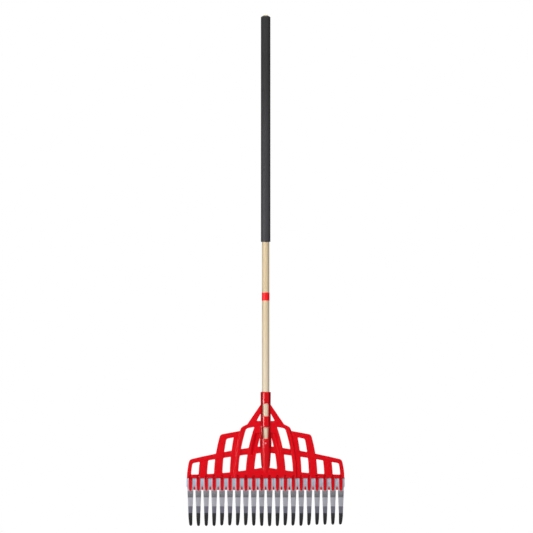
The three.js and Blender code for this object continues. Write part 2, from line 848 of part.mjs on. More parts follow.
function handleShaft() {
  const hole = pin(handleScrewRadius + clearance, -handleRadius, 0, 0, handleScrewHeight);
  return turned([...handleProfile(0), ...handleDome(), [0, handleTopHeight]]).subtract(hole);
}

// A tube round the handle; inside is its inner surface, from the bottom to the top
function sleeve(inside, outerRadius, base, top, edge) {
  return turned([
    inside[0],
    [outerRadius - edge, base],
    [outerRadius, base + edge],
    [outerRadius, top - edge],
    [outerRadius - edge, top],
    ...inside.slice().reverse(),
  ]);
}

function band() {
  const top = bandBaseHeight + bandHeight;
  const inside = [
    [sleeveRadius, bandBaseHeight],
    [sleeveRadius, top],
  ];
  return sleeve(inside, sleeveRadius + bandThickness, bandBaseHeight, top, bandThickness / 3);
}

// The grip ends in a lip that closes in over the dome of the wood
function grip() {
  const lip = handleDome()
    .slice(0, gripLipSteps + 1)
    .map(([radius, height]) => [radius + clearance, height]);
  const [lipRadius, lipHeight] = lip[gripLipSteps];
  const inside = [[sleeveRadius, gripBaseHeight], ...lip, [lipRadius + gripLipWidth, lipHeight]];
  return sleeve(inside, gripRadius, gripBaseHeight, gripTopHeight, gripEdge);
}

// The whole rake, with its own origin in the middle of the grip, on the handle's axis
const rake = new THREE.Group();
rake.position.z = -gripMiddleHeight;

function place(name, solid, material, x = 0) {
  const mesh = new THREE.Mesh(geometryOf(solid), material);
  mesh.name = name;
  mesh.position.x = x;
  rake.add(mesh);
}

place("handle_shaft", handleShaft(), wood);
place("foam_grip", grip(), foam);
place("handle_band", band(), redFilm);
place("rake_head", rakeHead(), redPlastic);
tinePlaces.forEach((x, i) => {
  const number = String(i + 1).padStart(2, "0");
  const drop = tineDrop + tipSpread * tipSpreadShares[i];
  place("tine_" + number, tine(tipSway * tipSwayShares[i], drop), springSteel, x);
});
place("rear_clamp_bar", rearClamp(), redPlastic);
screwPlaces.forEach((x, i) => place("clamp_screw_" + (i + 1), clampScrew(), zincSteel, x));
place("handle_screw", handleScrew(), zincSteel);

const group = new THREE.Group();
group.add(rake);

export default group;
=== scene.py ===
"""A lawn rake: twenty hooked spring-steel tines in a red moulded lattice head, on a wooden handle."""
import math

import bmesh
import bpy
from mathutils import Matrix, Vector


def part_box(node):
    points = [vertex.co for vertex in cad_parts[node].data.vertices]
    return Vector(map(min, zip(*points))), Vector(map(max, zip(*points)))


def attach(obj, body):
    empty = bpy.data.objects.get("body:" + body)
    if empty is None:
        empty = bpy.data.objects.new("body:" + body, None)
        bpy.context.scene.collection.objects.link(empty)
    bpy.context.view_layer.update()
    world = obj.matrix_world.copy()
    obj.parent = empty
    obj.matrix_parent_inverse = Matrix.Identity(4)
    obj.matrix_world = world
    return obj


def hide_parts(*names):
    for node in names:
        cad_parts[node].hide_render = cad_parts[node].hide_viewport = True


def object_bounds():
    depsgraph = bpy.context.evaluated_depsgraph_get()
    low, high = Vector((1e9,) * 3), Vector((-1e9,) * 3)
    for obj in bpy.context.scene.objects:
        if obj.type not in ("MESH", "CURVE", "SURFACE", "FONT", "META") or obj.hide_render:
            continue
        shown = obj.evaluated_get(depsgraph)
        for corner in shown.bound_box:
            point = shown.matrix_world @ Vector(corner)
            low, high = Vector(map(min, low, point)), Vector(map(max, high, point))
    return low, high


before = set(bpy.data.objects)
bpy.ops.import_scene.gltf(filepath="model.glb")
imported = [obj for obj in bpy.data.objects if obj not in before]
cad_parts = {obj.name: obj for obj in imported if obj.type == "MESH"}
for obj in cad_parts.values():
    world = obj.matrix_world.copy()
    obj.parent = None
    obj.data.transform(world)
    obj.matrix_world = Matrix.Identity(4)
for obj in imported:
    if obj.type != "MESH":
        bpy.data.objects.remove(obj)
cad_low, cad_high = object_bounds()
mm = 0.001

# Rake head. One injection moulding in glossy red polypropylene: socket, braces, lattice, bar and
# the fingers over the tines. Its edges are left slightly round by the mould, and its faces carry a
# fine spark-eroded grain with soft flow marks.
head_edge = 0.6 * mm
weld = 0.25 * mm  # corners of the solid closer than this are one corner
sharp = math.radians(30)
corner_half = 17 * mm  # the inner corners along the socket, this near the middle, stay sharp
head_red = (0.76, 0.0010, 0.0080)
head_deep_red = (0.60, 0.0008, 0.0055)
head_shade_red = (0.40, 0.0006, 0.004)  # painted shade at the foot of a notch and along the socket's flanks
head_darkest = 0.9  # its share there
tine_tab_height = 8.4 * mm
bar_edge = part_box("tine_10")[1].z - tine_tab_height  # the fingers below it are darker by painted shade
finger_fade = (-1.2 * mm, 4.8 * mm)  # from the bar's edge
notch_base = -5.6 * mm  # the notches between the fingers, from the bar's edge
notch_top = 9.4 * mm
notch_floor = -2.4 * mm  # in depth
shade_band = (8 * mm, 10.5 * mm, 14.5 * mm, 19 * mm)  # painted shade on the socket's flanks: where it starts, is full, fades and ends
shade_base = 100 * mm  # above the bar's edge
shade_fade = 8 * mm
plastic_clouds = 22  # lumps to the metre, as for every noise
plastic_flow = 60
plastic_pits = 1500
plastic_relief = 0.03 * mm


class Wire:
    """An output socket in a material. Sums written with wires add the Math nodes for them."""

    def __init__(self, tree, socket):
        self.tree = tree
        self.socket = socket

    def node(self, kind, settings, inputs, output=0):
        """Any other node: its settings first, then the values or wires of its sockets."""
        made = self.tree.nodes.new("ShaderNode" + kind)
        for name, setting in settings.items():
            setattr(made, name, setting)
        for name, value in inputs.items():
            if isinstance(value, Wire):
                self.tree.links.new(value.socket, made.inputs[name])
            else:
                made.inputs[name].default_value = value
        return Wire(self.tree, made.outputs[output]) if made.outputs else None

    def maths(self, operation, first, second):
        return self.node("Math", {"operation": operation}, {0: first, 1: second})

    def __add__(self, other):
        return self.maths("ADD", self, other)

    def __sub__(self, other):
        return self.maths("SUBTRACT", self, other)

    def __rsub__(self, other):
        return self.maths("SUBTRACT", other, self)

    def __mul__(self, other):
        return self.maths("MULTIPLY", self, other)

    __radd__ = __add__
    __rmul__ = __mul__


def new_material(name):
    """An empty material, and the wire of its piece's own coordinates."""
    made = bpy.data.materials.new(name)
    made.use_nodes = True
    made.node_tree.nodes.clear()
    coordinates = made.node_tree.nodes.new("ShaderNodeTexCoord")
    return made, Wire(made.node_tree, coordinates.outputs["Object"])


def part_of(place, axis):
    """One of the three parts of a place or a direction: "X", "Y" or "Z"."""
    return place.node("SeparateXYZ", {}, {"Vector": place}, axis)


def noise(place, scale, stretch=(1, 1, 1), detail=2):
    """Soft noise from 0 to 1, drawn out where stretch is under 1."""
    drawn = place.node("Mapping", {}, {"Vector": place, "Scale": stretch})
    return place.node("TexNoise", {}, {"Vector": drawn, "Scale": scale, "Detail": detail})


def between(share, first, second):
    """A colour between two, by a wire that gives the share of the second."""
    first, second = (
        (*colour, 1) if isinstance(colour, tuple) else colour for colour in (first, second)
    )
    factor_socket = 0
    first_socket = 6
    second_socket = 7
    colour_output = 2
    inputs = {factor_socket: share, first_socket: first, second_socket: second}
    return share.node("Mix", {"data_type": "RGBA"}, inputs, colour_output)


def steep(share, low, high):
    """A share made steeper: 0 up to low, 1 from high."""
    limits = {"Value": share, "From Min": low, "From Max": high}
    return share.node("MapRange", {"interpolation_type": "SMOOTHSTEP"}, limits)


def end_material(place, sockets, relief, depth):
    """Ends a material with its relief, that deep, and the sockets of its shader."""
    normal = place.node("Bump", {}, {"Height": relief, "Distance": depth})
    shader = place.node("BsdfPrincipled", {}, {**sockets, "Normal": normal})
    place.node("OutputMaterial", {}, {"Surface": shader})


def red_plastic():
    made, place = new_material("red_plastic")
    across = part_of(place, "X")
    depth = part_of(place, "Y")
    height = part_of(place, "Z") - bar_edge
    cloud = noise(place, plastic_clouds)
    flow = noise(place, plastic_flow, (1, 1, 0.3), 3)
    pits = noise(place, plastic_pits, detail=1)
    # painted shade below the bar, on the fingers of the head and of the rear comb
    under_bar_shade = 1 - steep(height, *finger_fade)
    tone = cloud * 0.6 + flow * 0.5 - under_bar_shade * 0.5 - 0.05
    # painted shade on the floor of the notches between the fingers
    near = steep(height, notch_base - head_edge, notch_base)
    near = near * (1 - steep(height, notch_top, notch_top + head_edge))
    sunk = near * steep(depth, notch_floor - head_edge, notch_floor - head_edge / 2)
    # painted shade on the socket's flanks, which turn away from the light
    starts, full, fades, ends = (limit * limit for limit in shade_band)
    painted_shade = steep(across * across, starts, full) * (1 - steep(across * across, fades, ends))
    painted_shade = painted_shade * steep(height, shade_base - shade_fade, shade_base)
    dark = (sunk + painted_shade) * head_darkest
    sockets = {
        "Base Color": between(dark, between(tone, head_deep_red, head_red), head_shade_red),
        "Roughness": flow * 0.1 + pits * 0.05 + 0.17,
        "Specular IOR Level": 0.5,
    }
    end_material(place, sockets, pits * 0.7 + flow * 0.3, plastic_relief)
    return made


def add_piece(name, shape, material, nodes):
    """Makes a piece of a finished bmesh: it stands for those CAD nodes and rides with the rake."""
    mesh = bpy.data.meshes.new(name)
    shape.to_mesh(mesh)
    shape.free()
    mesh.shade_smooth()
    mesh.materials.append(material)
    piece = bpy.data.objects.new(name, mesh)
    bpy.context.scene.collection.objects.link(piece)
    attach(piece, "root")
    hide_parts(*nodes)
    return piece


def keep_flats_flat(piece):
    """Shades flat faces flat and lets only the rounded edges between them turn."""
    piece.modifiers.new("flats", "WEIGHTED_NORMAL").keep_sharp = True


def mould_rounds(edge):
    """Whether the mould rounds an edge: it bends enough, and is no inner corner by the socket."""
    if not edge.is_manifold or edge.calc_face_angle() <= sharp:
        return False
    return edge.is_convex or abs(edge.verts[0].co.x) > corner_half


def softened(node, edge):
    """A copy of a moulding's solid with its edges rounded as its mould leaves them."""
    shape = bmesh.new()
    shape.from_mesh(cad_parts[node].data)
    bmesh.ops.remove_doubles(shape, verts=shape.verts, dist=weld)
    shape.normal_update()
    bmesh.ops.bevel(
        shape,
        geom=[e for e in shape.edges if mould_rounds(e)],
        offset=edge,
        offset_type="OFFSET",
        affect="EDGES",
        segments=2,
        profile=0.5,
        material=-1,
        loop_slide=True,
    )
    return shape


plastic = red_plastic()
head = add_piece(
    "head_moulding", softened("rake_head", head_edge), plastic, ["rake_head"]
)
keep_flats_flat(head)

# Tines. Strips of zinc-grey spring steel, blanked to shape, pressed with a slight crown along
# their length and bent four times before they curve into a hook, which heat and painted shade
# leave dark. Two of the facets between the bends carry painted shade too. Their roots hang on
# studs between the head and the rear comb.
tine_thickness = 1.4 * mm
tine_drop = 149.7 * mm  # from the bar's edge to the tip
tine_tab_half = 7.5 * mm
tine_shoulder_height = 2 * mm
tine_shoulder_slope = 1.2 * mm
tine_shoulder_drop = 25.5 * mm
tine_arch_height = 14 * mm
tine_arch_steps = 10
tine_blade_half = 9.2 * mm
tine_tip_half = 4.9 * mm
tine_tip_rounding = 6 * mm
tine_tip_steps = 6
tine_hook_swell = 1.2 * mm  # how far the hook's edges bulge
tine_tip_flat = 0.12  # share of the tip's width left where the rounding meets
tine_edge = 0.3 * mm
tine_edge_angle = math.radians(60)
tine_crown = 0.45 * mm
tine_crown_fade = 12 * mm
tine_columns = 6
knee_shares = [0.287, 0.405, 0.593, 0.734]  # where each bend lies on the drop
knee_width_shares = [1, 0.92, 0.79, 0.705]  # the width there, as a share of the blade's
knee_rounding = 0.7 * mm
facet_leans = [math.radians(lean) for lean in (-5, 4, 20)]  # backwards, between the bends
hook_start = math.radians(38)  # the hook's lean where it starts, and at its tip
hook_end = math.radians(62)
hook_rows = 12
pitch = 25 * mm
tine_names = [f"tine_{number:02d}" for number in range(1, 21)]
knees = [share * tine_drop for share in knee_shares]
knee_depths = [0]
for lean, upper, lower in zip(facet_leans, knees, knees[1:]):
    knee_depths.append(knee_depths[-1] + (lower - upper) * math.tan(lean))
hook_turn = math.sin(hook_end) - math.sin(hook_start)


def tine_depth(drop, reach):
    """How far back a tine lies at a drop below the bar's edge. Reach is the drop of its tip."""
    if drop <= knees[0]:
        return 0
    if drop >= knees[-1]:
        bend = (reach - knees[-1]) / hook_turn
        turn = min((drop - knees[-1]) / bend + math.sin(hook_start), math.sin(hook_end))
        return knee_depths[-1] + bend * (math.cos(hook_start) - math.cos(math.asin(turn)))
    facet = max(i for i, knee in enumerate(knees) if drop >= knee)
    return knee_depths[facet] + (drop - knees[facet]) * math.tan(facet_leans[facet])


def tine_rows(reach):
    """Half width and drop of each row across the strip, from its tab to its tip."""
    low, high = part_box("tine_10")
    shoulder = (high.x - low.x) / 2
    rows = [
        (tine_tab_half, -tine_tab_height),
        (tine_tab_half, -tine_shoulder_height - tine_shoulder_slope),
        (shoulder, -tine_shoulder_height),
        (shoulder, tine_shoulder_drop),
    ]
    gap = pitch / 2 - tine_blade_half
    for step in range(1, tine_arch_steps + 1):
        angle = math.pi / 2 * step / tine_arch_steps
        half = min(shoulder, pitch / 2 - gap * math.sin(angle))
        rows.append((half, tine_shoulder_drop + tine_arch_height * (1 - math.cos(angle))))
    for share, knee in zip(knee_width_shares, knees):
        rows.append((tine_blade_half * share, knee - knee_rounding))
        rows.append((tine_blade_half * share, knee + knee_rounding))
    hook_half, hook_top = rows[-1]
    tip_top = reach - tine_tip_rounding
    for step in range(1, hook_rows + 1):
        share = step / hook_rows
        half = hook_half + (tine_tip_half - hook_half) * share + tine_hook_swell * share * (1 - share)
        rows.append((half, hook_top + (tip_top - hook_top) * share))
    for step in range(1, tine_tip_steps + 1):
        angle = math.pi / 2 * step / tine_tip_steps
        half = tine_tip_half * max(math.cos(angle), tine_tip_flat)
        rows.append((half, tip_top + tine_tip_rounding * math.sin(angle)))
    return rows


def tine_strip(node):
    """The tine's middle surface: a grid drawn out to its outline and bent back row by row."""
    low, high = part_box(node)
    middle = (low.x + high.x) / 2
    points = [v.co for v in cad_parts[node].data.vertices]
    tip = [p.x for p in points if p.z < low.z + tine_tip_rounding]
    sway = (min(tip) + max(tip)) / 2 - middle
    reach = bar_edge - low.z - tine_thickness / 2 * math.sin(hook_end)
    rows = tine_rows(reach)
    shape = bmesh.new()
    bmesh.ops.create_grid(shape, x_segments=tine_columns, y_segments=len(rows) - 1, size=1)
    for corner in shape.verts:
        half, drop = rows[round((1 - corner.co.y) / 2 * (len(rows) - 1))]
        across = corner.co.x
        swing = max(0, (drop - knees[-1]) / (reach - knees[-1])) ** 2 * sway
        crown_share = min(1, max(0, (drop - knees[0]) / tine_crown_fade))
        crown_share = min(crown_share, (reach - drop) / tine_crown_fade)
        back = tine_depth(drop, reach) + tine_crown * crown_share * (across * across - 0.5)
        corner.co = (middle + swing + across * half, back, bar_edge - drop)
    bmesh.ops.recalc_face_normals(shape, faces=shape.faces)
    return shape


def band_of_height(drop, upper, lower):
    """1 on the steel between two drops, with a soft edge as wide as a bend."""
    into = steep(drop, upper - knee_rounding, upper + knee_rounding)
    out = steep(drop, lower - knee_rounding, lower + knee_rounding)
    return into * (1 - out)


tine_shadow_above = 2.5 * mm  # how far the painted shade of the first facet starts above the first bend, as a painted shadow under the fingers
tine_hook_dark_fade = 1.5 * mm
steel_streaks = 900
steel_mottle = 420
steel_relief = 0.04 * mm
zinc_bluish = (0.70, 0.83, 1.0)
steel_pale = (0.61, 0.61, 0.68)
steel_grey = (0.52, 0.51, 0.58)
steel_first_facet_shade = (0.29, 0.29, 0.315)
steel_first_facet_deep_shade = (0.15, 0.145, 0.16)
steel_leaning_shade = (0.265, 0.265, 0.335)
steel_hook_heat_and_shade = (0.052, 0.051, 0.056)


def spring_steel():
    made, place = new_material("spring_steel")
    drop = bar_edge - part_of(place, "Z")
    streaks = noise(place, steel_streaks, (1, 1, 0.03), 3)
    mottle = noise(place, steel_mottle, detail=4)
    root = steep(drop, knees[0], 0)
    rolled = between(root, between(streaks, steel_grey, steel_pale), zinc_bluish)
    # painted shade on the facet between the first two bends, with a mottle, darker downwards
    first_facet_shade = band_of_height(drop, knees[0] - tine_shadow_above, knees[1])
    mottle_and_shade = steep(mottle, 0.35, 0.65) * 0.6 + steep(drop, knees[0], knees[1]) * 0.5
    colour = between(first_facet_shade, rolled, between(mottle_and_shade, steel_first_facet_shade, steel_first_facet_deep_shade))
    # painted shade on the facet that leans back before the hook
    leaning_shade = steep(drop, knees[2] - knee_rounding, knees[2] + knee_rounding)
    colour = between(leaning_shade, colour, steel_leaning_shade)
    # the hook, dark from heat and darker still by painted shade
    scale = steep(drop, knees[3] - tine_hook_dark_fade, knees[3] + tine_hook_dark_fade)
    colour = between(scale, colour, steel_hook_heat_and_shade)
    sockets = {
        "Base Color": colour,
        "Metallic": 0.45 - first_facet_shade * 0.2 - scale * 0.35,
        "Roughness": streaks * 0.1 + mottle * 0.1 + first_facet_shade * 0.2 + 0.33,
        "Specular IOR Level": 0.3,
    }
    end_material(place, sockets, streaks * 0.6 + mottle * 0.4, steel_relief)
    return made


steel = spring_steel()
for name in tine_names:
    tine = add_piece(name + "_strip", tine_strip(name), steel, [name])
    wall = tine.modifiers.new("thickness", "SOLIDIFY")
    wall.thickness = tine_thickness
    wall.offset = 0
    wall.use_even_offset = True
    rounding = tine.modifiers.new("edges", "BEVEL")
    rounding.width = tine_edge
    rounding.segments = 2
    rounding.angle_limit = tine_edge_angle
    keep_flats_flat(tine)

# Rear comb. A second red moulding that clamps the roots of the tines from behind, with a short
# finger behind each gap. Five screws draw it to the head.
comb_edge = 0.35 * mm
comb = add_piece(
    "rear_comb", softened("rear_clamp_bar", comb_edge), plastic, ["rear_clamp_bar"]
)
keep_flats_flat(comb)

# Comb screws. Zinc-plated pan-head screws, turned and then pressed with a crossed drive. They go
# through the rear comb into the head from behind.
spun_weld = 0.01 * mm
screw_sides = 40
screw_head_radius = 3.6 * mm
screw_head_height = 2.2 * mm
screw_crown = [(1, 0.45), (0.94, 0.72), (0.78, 0.92)]  # shares of the head's radius and height
screw_flat = 0.55  # share of its radius
screw_shank_radius = 1.7 * mm
drive_width = 1.1 * mm
drive_length = 4.2 * mm
drive_depth = 1.1 * mm
zinc_pale = (0.62, 0.63, 0.65)
zinc_grey = (0.46, 0.47, 0.50)
zinc_crystals = 1400
zinc_wipe = 300
zinc_relief = 0.02 * mm


def spun(profile, sides):
    """A closed profile of (radius, height) points, spun about the Z axis."""
    shape = bmesh.new()
    corners = [shape.verts.new((radius, 0, height)) for radius, height in profile]
    for first, second in zip(corners, corners[1:]):
        shape.edges.new((first, second))
    bmesh.ops.spin(
        shape,
        geom=shape.verts[:] + shape.edges[:],
        axis=(0, 0, 1),
        cent=(0, 0, 0),
        angle=2 * math.pi,
        steps=sides,
        use_merge=True,
    )
    bmesh.ops.remove_doubles(shape, verts=shape.verts, dist=spun_weld)
    bmesh.ops.recalc_face_normals(shape, faces=shape.faces)
    return shape


def zinc_plate():
    made, place = new_material("zinc_plate")
    crystals = noise(place, zinc_crystals, detail=3)
    wipe = noise(place, zinc_wipe)
    sockets = {
        "Base Color": between(crystals, zinc_grey, zinc_pale),
        "Metallic": 0.85,
        "Roughness": wipe * 0.2 + 0.25,
    }
    end_material(place, sockets, crystals, zinc_relief)
    return made


def screw_blank(node):
    """The screw before its drive is pressed: turned, then laid with its head to the back."""
    low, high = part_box(node)
    seat = high.y - screw_head_height
    profile = [
        (0, low.y),
        (screw_shank_radius, low.y),
        (screw_shank_radius, seat),
        (screw_head_radius, seat),
        *((screw_head_radius * out, seat + screw_head_height * up) for out, up in screw_crown),
        (screw_head_radius * screw_flat, high.y),
        (0, high.y),
    ]
    shape = spun(profile, screw_sides)
    middle = (low + high) / 2
    lay = Matrix.Translation((middle.x, 0, middle.z)) @ Matrix.Rotation(-math.pi / 2, 4, "X")
    bmesh.ops.transform(shape, matrix=lay, verts=shape.verts)
    return shape


def drive_cross(node):
    """The crossed punch that presses the drive into a screw's head."""
    low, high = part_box(node)
    middle = (low + high) / 2
    shape = bmesh.new()
    for along, across in ((drive_length, drive_width), (drive_width, drive_length)):
        size = Matrix.Diagonal((along, 2 * drive_depth, across, 1))
        place = Matrix.Translation((middle.x, high.y, middle.z))
        bmesh.ops.create_cube(shape, size=1, matrix=place @ size)
    return shape


def pressed(piece, punch_shape):
    """Cuts the punch's shape out of a piece's mesh."""
    mesh = bpy.data.meshes.new("punch")
    punch_shape.to_mesh(mesh)
    punch_shape.free()
    punch = bpy.data.objects.new("punch", mesh)
    bpy.context.scene.collection.objects.link(punch)
    cut = piece.modifiers.new("drive", "BOOLEAN")
    cut.object = punch
    cut.solver = "EXACT"
    cut.use_self = True
    bpy.context.view_layer.update()
    finished = piece.evaluated_get(bpy.context.evaluated_depsgraph_get())
    piece.data = bpy.data.meshes.new_from_object(finished)
    piece.modifiers.clear()
    bpy.data.objects.remove(punch)


zinc = zinc_plate()
for number in range(1, 6):
    node = f"clamp_screw_{number}"
    screw = add_piece(f"comb_screw_{number}", screw_blank(node), zinc, [node])
    pressed(screw, drive_cross(node))
    keep_flats_flat(screw)

# Handle. A turned hardwood pole with a domed end and a tapered foot that wedges into the socket,
# sanded along the grain and sealed with a thin clear lacquer.
handle_sides = 96
dome_height = 12 * mm
dome_flat = 4 * mm
dome_steps = 12
foot_radius = 6.7 * mm
foot_chamfer = 1.5 * mm
taper_knee_radius = 9.5 * mm
taper_knee_above = 70 * mm  # the foot
taper_top_above = 171 * mm
wood_pale = (0.77, 0.64, 0.43)
wood_warm = (0.62, 0.47, 0.265)
wood_pore = (0.47, 0.33, 0.18)
wood_paler_tone = (0.80, 0.70, 0.56)
paler_full = bar_edge + 300 * mm  # the wood is paler up to here, and fades to the end above
paler_end = bar_edge + 620 * mm
wood_window_shade = (0.16, 0.07, 0.05)  # painted shade in the corner between the wood and the socket's windows
window_shade_top = bar_edge + 238 * mm
window_shade_fade = 8.6 * mm
window_shade_from = 8.6 * mm  # from the middle of the wood
window_shade_to = 9.8 * mm
grain_wander = 6
grain_swing = (12 * mm, 20 * mm)  # how far the rings wander along X and Y
grain_rings = 95
grain_fibre = 700
grain_pores = 1500
grain_relief = 0.05 * mm


def hardwood():
    made, place = new_material("hardwood")
    across = part_of(place, "X")
    height = part_of(place, "Z")
    wander = noise(place, grain_wander, (1, 1, 0.35))
    swing = {"X": wander * grain_swing[0], "Y": wander * grain_swing[1]}
    drift = place.node("CombineXYZ", {}, swing)
    bent = place.node("VectorMath", {"operation": "ADD"}, {0: place, 1: drift})
    lines = {"Vector": bent, "Scale": grain_rings, "Distortion": 2.5, "Detail Scale": 0.6}
    rings = bent.node("TexWave", {"wave_type": "BANDS", "bands_direction": "X"}, lines)
    fibre = noise(place, grain_fibre, (1, 1, 0.02), 4)
    pores = steep(noise(place, grain_pores, (1, 1, 0.012)), 0.62, 0.72)
    tone = rings * 0.35 + fibre * 0.65
    colour = between(tone, wood_pale, wood_warm)
    colour = between(pores * 0.55, colour, wood_pore)
    paler_below = steep(height, paler_end, paler_full)
    colour = between(paler_below * 0.5, colour, wood_paler_tone)
    # painted shade along the wood's sides in the socket's windows
    aside = steep(across * across, window_shade_from * window_shade_from, window_shade_to * window_shade_to)
    painted_shade = aside * steep(height, window_shade_top, window_shade_top - window_shade_fade)
    colour = between(painted_shade * 0.8, colour, wood_window_shade)
    sockets = {
        "Base Color": colour,
        "Roughness": fibre * 0.15 + pores * 0.15 + 0.33,
        "Specular IOR Level": 0.5,
    }
    end_material(place, sockets, 1 - pores * 0.8 - fibre * 0.2, grain_relief)
    return made


def dome(radius, top):
    """The handle's rounded end, as (radius, height) points from its shoulder to its flat."""
    flat_angle = math.acos(dome_flat / radius)
    rise = dome_height / math.sin(flat_angle)
    angles = [flat_angle * step / dome_steps for step in range(dome_steps + 1)]
    return [
        (radius * math.cos(angle), top - dome_height + rise * math.sin(angle)) for angle in angles
    ]


def handle_profile():
    low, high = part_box("handle_shaft")
    radius = high.x
    return [
        (0, low.z),
        (foot_radius - foot_chamfer, low.z),
        (foot_radius, low.z + foot_chamfer),
        (taper_knee_radius, low.z + taper_knee_above),
        (radius, low.z + taper_top_above),
        *dome(radius, high.z),
        (0, high.z),
    ]


handle = add_piece(
    "wood_handle", spun(handle_profile(), handle_sides), hardwood(), ["handle_shaft"]
)
keep_flats_flat(handle)

# Socket screw. A short round-headed steel screw through the front of the socket into the wood. Its
# head carries the red lacquer of the socket, rubbed thin on the crown, with a painted pink highlight
# there.
socket_screw_radius = 3 * mm
socket_shank_radius = 1.6 * mm
socket_screw_rise = 1.6 * mm
socket_screw_steps = 6
socket_screw_rim = 0.25  # share of the rise below the dome
lacquer_red = (0.80, 0.012, 0.020)
lacquer_rubbed_glint = (0.98, 0.42, 0.46)
lacquer_scuffs = 1200
lacquer_left = (0.5 * mm, 1.1 * mm)  # it starts and is whole this far behind the crown
lacquer_ragged = 0.4 * mm
lacquer_relief = 0.02 * mm


def round_screw(node):
    low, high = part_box(node)
    seat = -low.y - socket_screw_rise
    profile = [(0, -high.y), (socket_shank_radius, -high.y), (socket_shank_radius, seat)]
    for step in range(socket_screw_steps + 1):
        angle = math.pi / 2 * step / socket_screw_steps
        rise = socket_screw_rise * (socket_screw_rim + (1 - socket_screw_rim) * math.sin(angle))
        profile.append((socket_screw_radius * math.cos(angle), seat + rise))
    profile.insert(3, (socket_screw_radius, seat))
    shape = spun(profile, screw_sides)
    lay = Matrix.Translation((0, 0, (low.z + high.z) / 2)) @ Matrix.Rotation(math.pi / 2, 4, "X")
    bmesh.ops.transform(shape, matrix=lay, verts=shape.verts)
    return shape


def lacquer_with_glint():
    made, place = new_material("lacquer_with_glint")
    depth = part_of(place, "Y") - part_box("handle_screw")[0].y
    scuffs = noise(place, lacquer_scuffs)
    # painted highlight: the rubbed crown turns pale pink
    worn = 1 - steep(depth + scuffs * lacquer_ragged, *lacquer_left)
    sockets = {
        "Base Color": between(worn, lacquer_red, lacquer_rubbed_glint),
        "Metallic": worn * 0.3,
        "Roughness": scuffs * 0.15 + 0.22,
    }
    end_material(place, sockets, scuffs, lacquer_relief)
    return made


add_piece(
    "socket_screw", round_screw("handle_screw"), lacquer_with_glint(), ["handle_screw"]
)

# Band. A plain red film wrapped round the wood below the grip and shrunk tight. Its rims stand a
# third of a millimetre off the wood, and its face is rubbed a little.
band_wall = 0.35 * mm
band_edge = 0.12 * mm
film_red = (0.99, 0.009, 0.015)
film_worn = (0.92, 0.022, 0.026)
film_rub = 160
film_weave = 1100
film_relief = 0.01 * mm


def sleeve(profile, edge):
    """A closed tube round the handle with its rims rounded."""
    shape = spun([*profile, profile[0]], handle_sides)
    rims = [e for e in shape.edges if e.calc_face_angle() > sharp]
    bmesh.ops.bevel(
        shape,
        geom=rims,
        offset=edge,
        affect="EDGES",
        segments=4,
        profile=0.5,
        material=-1,
    )
    return shape


def band_profile():
    low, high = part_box("handle_band")
    outer = high.x
    inner = outer - band_wall
    return [(inner, low.z), (outer, low.z), (outer, high.z), (inner, high.z)]


def film():
    made, place = new_material("band_film")
    rub = noise(place, film_rub, (1, 1, 0.4), 3)
    weave = noise(place, film_weave, detail=1)
    sockets = {
        "Base Color": between(steep(rub, 0.4, 0.9), film_red, film_worn),
        "Roughness": rub * 0.15 + 0.3,
        "Specular IOR Level": 0.4,
    }
    end_material(place, sockets, weave, film_relief)
    return made


band = add_piece(
    "red_band", sleeve(band_profile(), band_edge), film(), ["handle_band"]
)
keep_flats_flat(band)

# Grip. A long sleeve of fine closed-cell foam rubber, pushed over the upper half of the handle,
# with its skin ground off so that the cut cells show as a matt texture. At the top it closes in
# over the shoulder of the wood.
grip_gap = 0.3 * mm
grip_edge = 0.6 * mm
grip_shoulder_below = 7 * mm  # from the wood's end down to the grip's shoulder
grip_lip_below = 3.6 * mm
grip_lip_width = 0.9 * mm
grip_worn_top = 200 * mm  # rubbed smoother from here to the base
# down to here the grip is rubbed smoother, and painted paler as more light falls lower down
grip_worn_and_lit_base = -360 * mm
foam_dark = (0.036, 0.036, 0.037)
foam_pale = (0.072, 0.070, 0.080)
foam_cells = 900
foam_crumbs = 380
foam_drift = 14
foam_relief = 0.12 * mm


def grip_profile():
    low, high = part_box("foam_grip")
    outer = high.x
    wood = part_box("handle_shaft")[1]
    shoulder = wood.z - grip_shoulder_below
    lip = [
        (radius + grip_gap, height)
        for radius, height in dome(wood.x, wood.z)
        if height < wood.z - grip_lip_below
    ]
    return [
        (wood.x + grip_gap, low.z),
        (outer, low.z),
        (outer, shoulder - grip_edge),
        (outer - grip_edge, shoulder),
        (lip[-1][0] + grip_lip_width, lip[-1][1]),
        *reversed(lip),
    ]


def foam():
    made, place = new_material("grip_foam")
    height = part_of(place, "Z")
    cells = place.node("TexVoronoi", {"feature": "F1"}, {"Vector": place, "Scale": foam_cells})
    coarse = noise(place, foam_crumbs, detail=3)
    drift = noise(place, foam_drift, (1, 1, 0.5))
    # painted light: paler from the top of the grip down, where more light falls
    paler_below = steep(height, cad_high.z, grip_worn_and_lit_base)
    tone = cells * 0.3 + coarse * 0.3 + drift * 0.3 + paler_below * 0.6 - 0.45
    worn = steep(height, grip_worn_top, grip_worn_and_lit_base)
    sockets = {
        "Base Color": between(tone, foam_dark, foam_pale),
        "Roughness": coarse * 0.1 + 0.78 - worn * 0.27,
        "Specular IOR Level": 0.5,
    }
    end_material(place, sockets, cells * 0.6 + coarse * 0.4, foam_relief)
    return made


grip = add_piece(
    "foam_sleeve", sleeve(grip_profile(), grip_edge), foam(), ["foam_grip"]
)
keep_flats_flat(grip)

